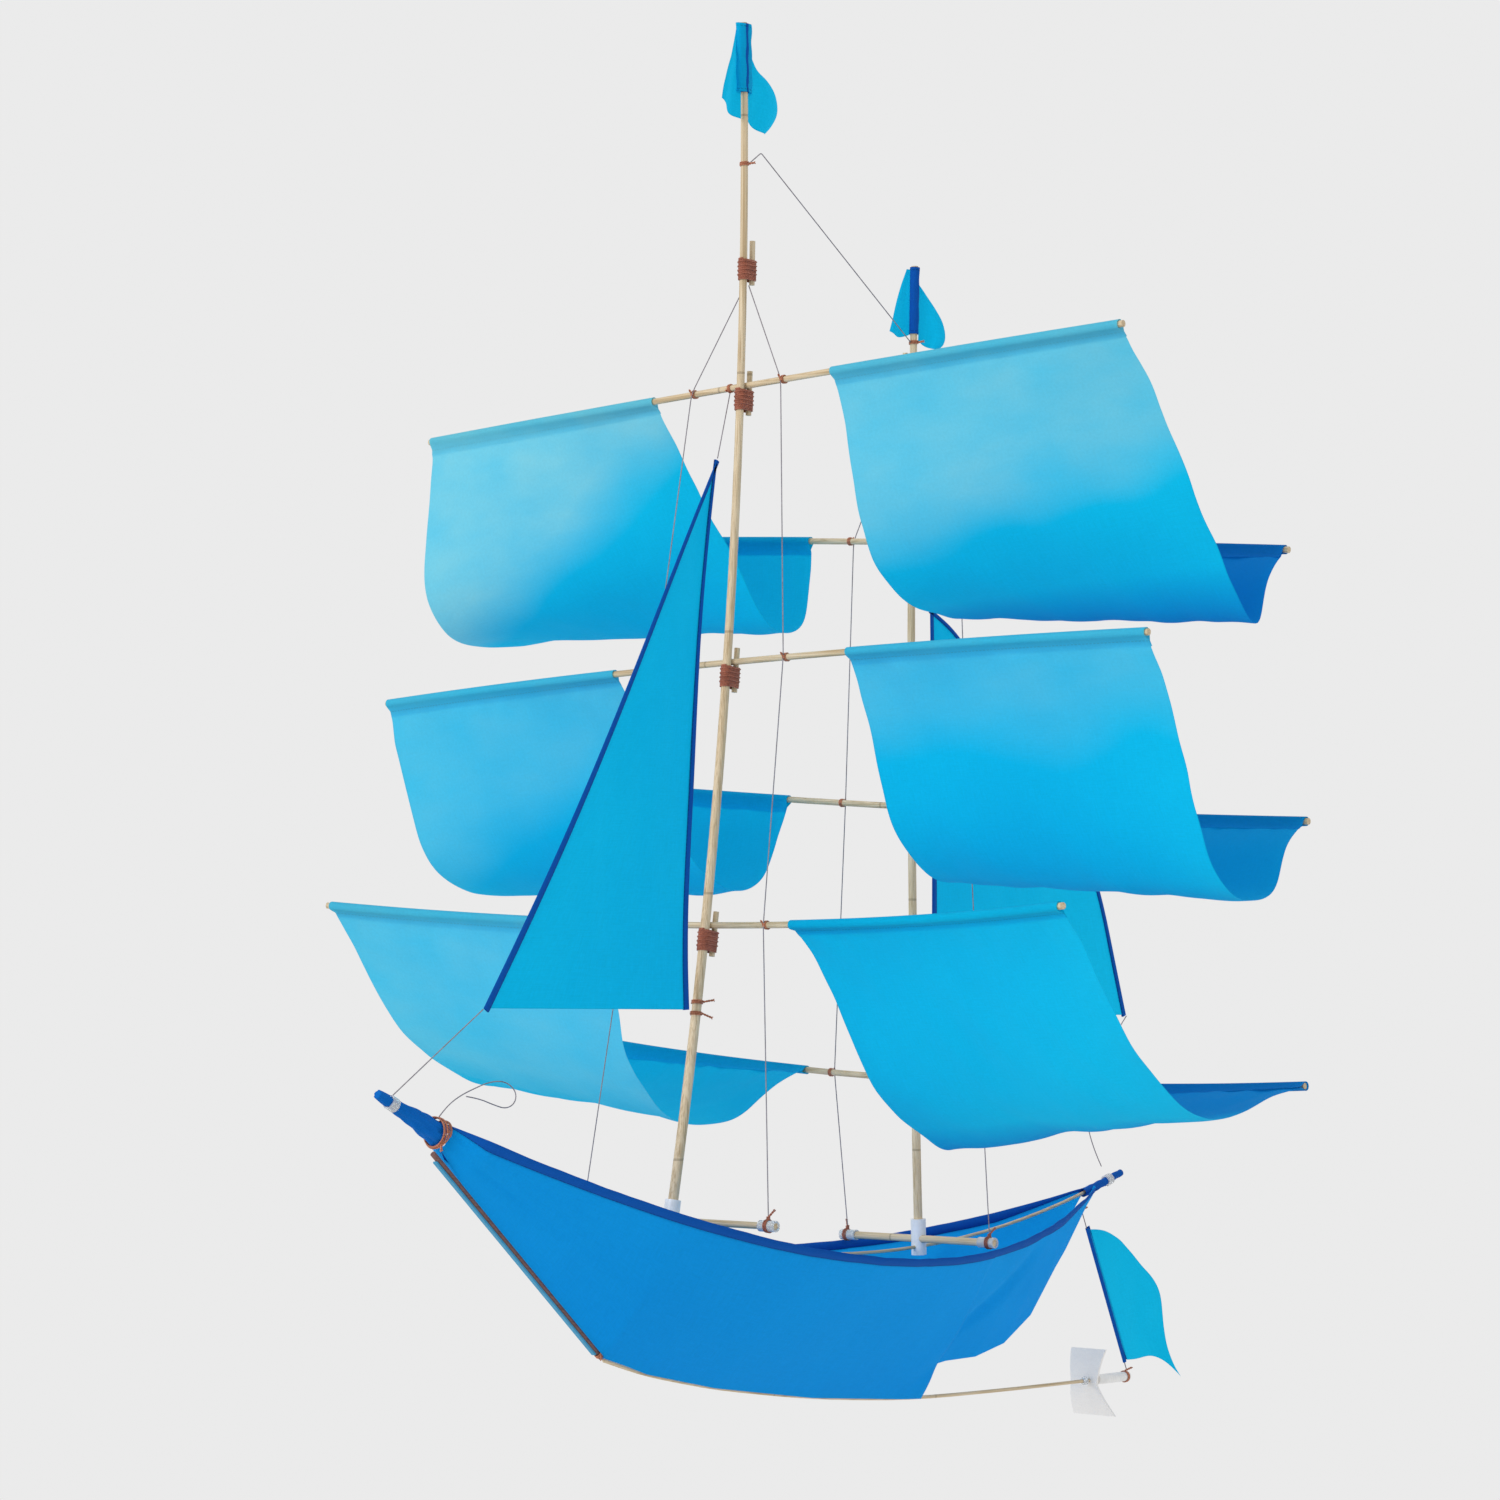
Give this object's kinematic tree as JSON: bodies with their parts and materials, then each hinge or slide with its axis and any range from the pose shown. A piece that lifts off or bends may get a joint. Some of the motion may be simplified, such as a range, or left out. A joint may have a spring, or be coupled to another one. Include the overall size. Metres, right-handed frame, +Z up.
{
  "type": "ship kite",
  "caption": "Kite shaped as a two-masted sailing ship: bamboo masts and yards, blue cloth sails slung between them, a cloth hull, a swinging rudder flag and a spinning tail blade",
  "frame": {"origin": "The crown of the line that joins the two mastheads, where the kite hangs.", "axes": "+X towards the stern, +Y to the starboard side, +Z up as the kite hangs."},
  "size_m": [1.0136, 0.804, 1.1556],
  "materials": {
    "bamboo": "satin",
    "stem_bamboo": "satin",
    "light_blue_tape": "matte",
    "sail_cloth": "matte",
    "plain_cloth": "matte",
    "hull_cloth": "matte",
    "lashing_thread": "matte",
    "copper_wire": "satin",
    "white_tube": "gloss",
    "clear_tube": "gloss",
    "white_foam": "matte",
    "grey_line": "matte"
  },
  "bodies": {
    "airframe": {"bow_binding": "copper_wire", "bow_collar": "clear_tube", "bow_line": "grey_line", "bow_wrap": "hull_cloth", "clew_line": "grey_line", "crossbar_caps": "white_tube", "deck_spar": "bamboo", "flying_line": "grey_line", "fore_cleat_head": "bamboo", "fore_cleat_low": "bamboo", "fore_cleat_mid": "bamboo", "fore_cleat_top": "bamboo", "fore_crossbar": "bamboo", "fore_lashings": "lashing_thread", "fore_shroud_port": "grey_line", "fore_shroud_starboard": "grey_line", "fore_socket": "white_tube", "fore_yard_low": "bamboo", "fore_yard_mid": "bamboo", "fore_yard_top": "bamboo", "foremast": "bamboo", "hull_skin_port": "hull_cloth", "hull_skin_starboard": "hull_cloth", "jib": "plain_cloth", "jib_halyard": "bamboo", "keel_spar": "bamboo", "masthead_line": "grey_line", "propeller_bead": "clear_tube", "rear_cleat_head": "bamboo", "rear_cleat_low": "bamboo", "rear_cleat_mid": "bamboo", "rear_cleat_top": "bamboo", "rear_crossbar": "bamboo", "rear_lashings": "lashing_thread", "rear_mast": "bamboo", "rear_shroud_port": "grey_line", "rear_shroud_starboard": "grey_line", "rear_socket": "white_tube", "rear_yard_low": "bamboo", "rear_yard_mid": "bamboo", "rear_yard_top": "bamboo", "rudder_line": "grey_line", "sail_low_port": "sail_cloth", "sail_low_starboard": "sail_cloth", "sail_mid_port": "sail_cloth", "sail_mid_starboard": "sail_cloth", "sail_top_port": "sail_cloth", "sail_top_starboard": "sail_cloth", "shroud_ties": "copper_wire", "spanker": "plain_cloth", "stem_spar": "stem_bamboo", "stem_strip": "light_blue_tape", "stern_collar": "clear_tube", "stern_wrap": "hull_cloth", "tail_tube": "white_tube", "wire_ties": "copper_wire"},
    "fore_pennant": {"fore_pennant": "plain_cloth"},
    "rear_pennant": {"rear_pennant": "plain_cloth"},
    "rudder": {"rudder_flag": "plain_cloth"},
    "propeller": {"propeller": "white_foam"}
  },
  "joints": [
    {"name": "fore_pennant_swivel", "type": "hinge", "parent": "airframe", "child": "fore_pennant", "pos_m": [-0.02211, 0, 0.074], "axis": [-0.0273, 0, 0.9996], "continuous": true},
    {"name": "rear_pennant_swivel", "type": "hinge", "parent": "airframe", "child": "rear_pennant", "pos_m": [0.2005, 0, -0.0955], "axis": [0.0159, 0, 0.9999], "range_deg": [-150, 8]},
    {"name": "rudder_swing", "type": "hinge", "parent": "airframe", "child": "rudder", "pos_m": [0.445, 0, -0.8725], "axis": [0.4294, 0, -0.9031], "range_deg": [-60, 60]},
    {"name": "propeller_spin", "type": "hinge", "parent": "airframe", "child": "propeller", "pos_m": [0.458, 0, -1.0215], "axis": [1, 0, 0], "continuous": true}
  ]
}
